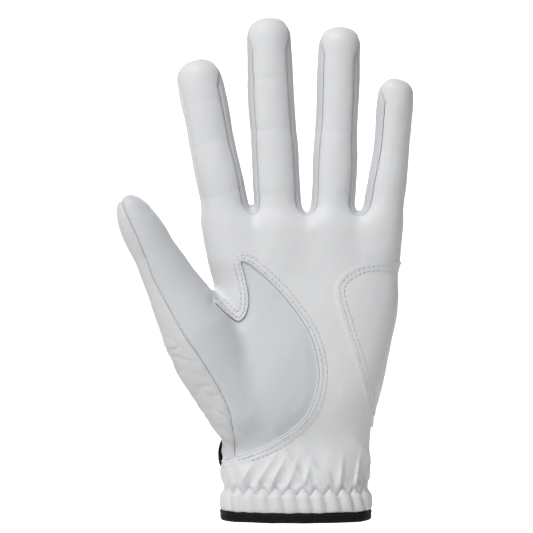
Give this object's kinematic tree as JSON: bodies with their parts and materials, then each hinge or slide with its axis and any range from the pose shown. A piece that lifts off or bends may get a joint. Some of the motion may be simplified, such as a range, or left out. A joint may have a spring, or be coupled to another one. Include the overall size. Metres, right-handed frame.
{
  "type": "golf glove",
  "caption": "Left-hand leather golf glove held open, with bending fingers and thumb, gathered elastic wrist, black edge tape and a hook-and-loop closure tab on the back.",
  "frame": {"origin": "centre of the cuff's opening, level with the lower edge of the edge tape", "axes": "+Z along the fingers, -Y out of the palm, -X towards the thumb"},
  "size_m": [0.1347, 0.0488, 0.2294],
  "materials": {
    "leather": "matt, smooth",
    "fourchette_leather": "matt, soft",
    "thumb_back_synthetic": "matt, fine texture",
    "edge_tape": "woven tape",
    "elastic": "woven elastic",
    "hook_and_loop": "hook and loop",
    "knit": "stretch knit"
  },
  "bodies": {
    "hand": {"back_panel": "leather", "cuff_binding": "edge_tape", "heel_patch": "leather", "knuckle_stretch_panel": "knit", "loop_patch": "hook_and_loop", "palm_panel": "leather", "palm_tongue": "leather", "slit_tape": "edge_tape", "tab_anchor": "leather", "thumb_gusset": "leather", "thumb_root_back": "thumb_back_synthetic", "wrist_elastic": "elastic", "index_knuckle_crease": "leather", "middle_knuckle_crease": "leather", "ring_knuckle_crease": "leather", "little_knuckle_crease": "leather", "thumb_base_crease": "leather"},
    "index_base": {"index_base_back": "leather", "index_base_front": "leather", "index_base_side": "fourchette_leather", "index_middle_crease": "leather"},
    "index_tip": {"index_tip_back": "leather", "index_tip_front": "leather", "index_tip_side": "fourchette_leather"},
    "middle_base": {"middle_base_back": "leather", "middle_base_front": "leather", "middle_base_side_a": "fourchette_leather", "middle_base_side_b": "fourchette_leather", "middle_middle_crease": "leather"},
    "middle_tip": {"middle_tip_back": "leather", "middle_tip_front": "leather", "middle_tip_side_a": "fourchette_leather", "middle_tip_side_b": "fourchette_leather"},
    "ring_base": {"ring_base_back": "leather", "ring_base_front": "leather", "ring_base_side_a": "fourchette_leather", "ring_base_side_b": "fourchette_leather", "ring_middle_crease": "leather"},
    "ring_tip": {"ring_tip_back": "leather", "ring_tip_front": "leather", "ring_tip_side_a": "fourchette_leather", "ring_tip_side_b": "fourchette_leather"},
    "little_base": {"little_base_back": "leather", "little_base_front": "leather", "little_base_side": "fourchette_leather", "little_middle_crease": "leather"},
    "little_tip": {"little_tip_back": "leather", "little_tip_front": "leather", "little_tip_side": "fourchette_leather"},
    "thumb_base": {"thumb_base_back": "thumb_back_synthetic", "thumb_base_front": "leather", "thumb_tip_crease": "leather"},
    "thumb_tip": {"thumb_tip_back": "thumb_back_synthetic", "thumb_tip_front": "leather"},
    "closure_tab_body": {"closure_tab": "leather", "tab_trim": "edge_tape", "hook_patch": "hook_and_loop"}
  },
  "joints": [
    {"name": "index_knuckle_joint", "type": "hinge", "parent": "hand", "child": "index_base", "pos_m": [-0.03333, 0, 0.1493], "axis": [0.9792, 0, 0.2028], "range_deg": [0, 75], "stiffness_Nm_per_rad": 0.02, "deforming": ["index_knuckle_crease"]},
    {"name": "index_middle_joint", "type": "hinge", "parent": "index_base", "child": "index_tip", "pos_m": [-0.0383, 0, 0.17329], "axis": [0.9792, 0, 0.2028], "range_deg": [0, 90], "stiffness_Nm_per_rad": 0.02, "deforming": ["index_middle_crease"]},
    {"name": "middle_knuckle_joint", "type": "hinge", "parent": "hand", "child": "middle_base", "pos_m": [-0.00863, 0, 0.14949], "axis": [0.9984, 0, 0.0558], "range_deg": [0, 75], "stiffness_Nm_per_rad": 0.02, "deforming": ["middle_knuckle_crease"]},
    {"name": "middle_middle_joint", "type": "hinge", "parent": "middle_base", "child": "middle_tip", "pos_m": [-0.01028, 0, 0.17894], "axis": [0.9984, 0, 0.0558], "range_deg": [0, 90], "stiffness_Nm_per_rad": 0.02, "deforming": ["middle_middle_crease"]},
    {"name": "ring_knuckle_joint", "type": "hinge", "parent": "hand", "child": "ring_base", "pos_m": [0.0174, 0, 0.14949], "axis": [0.9991, 0, -0.0419], "range_deg": [0, 75], "stiffness_Nm_per_rad": 0.02, "deforming": ["ring_knuckle_crease"]},
    {"name": "ring_middle_joint", "type": "hinge", "parent": "ring_base", "child": "ring_tip", "pos_m": [0.01855, 0, 0.17697], "axis": [0.9991, 0, -0.0419], "range_deg": [0, 90], "stiffness_Nm_per_rad": 0.02, "deforming": ["ring_middle_crease"]},
    {"name": "little_knuckle_joint", "type": "hinge", "parent": "hand", "child": "little_base", "pos_m": [0.04012, 0, 0.14844], "axis": [0.9928, 0, -0.1201], "range_deg": [0, 75], "stiffness_Nm_per_rad": 0.02, "deforming": ["little_knuckle_crease"]},
    {"name": "little_middle_joint", "type": "hinge", "parent": "little_base", "child": "little_tip", "pos_m": [0.04264, 0, 0.16929], "axis": [0.9928, 0, -0.1201], "range_deg": [0, 90], "stiffness_Nm_per_rad": 0.02, "deforming": ["little_middle_crease"]},
    {"name": "thumb_base_joint", "type": "hinge", "parent": "hand", "child": "thumb_base", "pos_m": [-0.05278, -0.01154, 0.10179], "axis": [0.7594, 0.4384, 0.4807], "range_deg": [0, 35], "stiffness_Nm_per_rad": 0.03, "deforming": ["thumb_base_crease"]},
    {"name": "thumb_tip_joint", "type": "hinge", "parent": "thumb_base", "child": "thumb_tip", "pos_m": [-0.06501, -0.01464, 0.12394], "axis": [0.7594, 0.4384, 0.4807], "range_deg": [0, 60], "stiffness_Nm_per_rad": 0.03, "deforming": ["thumb_tip_crease"]},
    {"name": "closure_tab_hinge", "type": "hinge", "parent": "hand", "child": "closure_tab_body", "pos_m": [0.017, 0.02262, 0.031], "axis": [0, 0, -1], "range_deg": [0, 150], "stiffness_Nm_per_rad": 0.002}
  ]
}
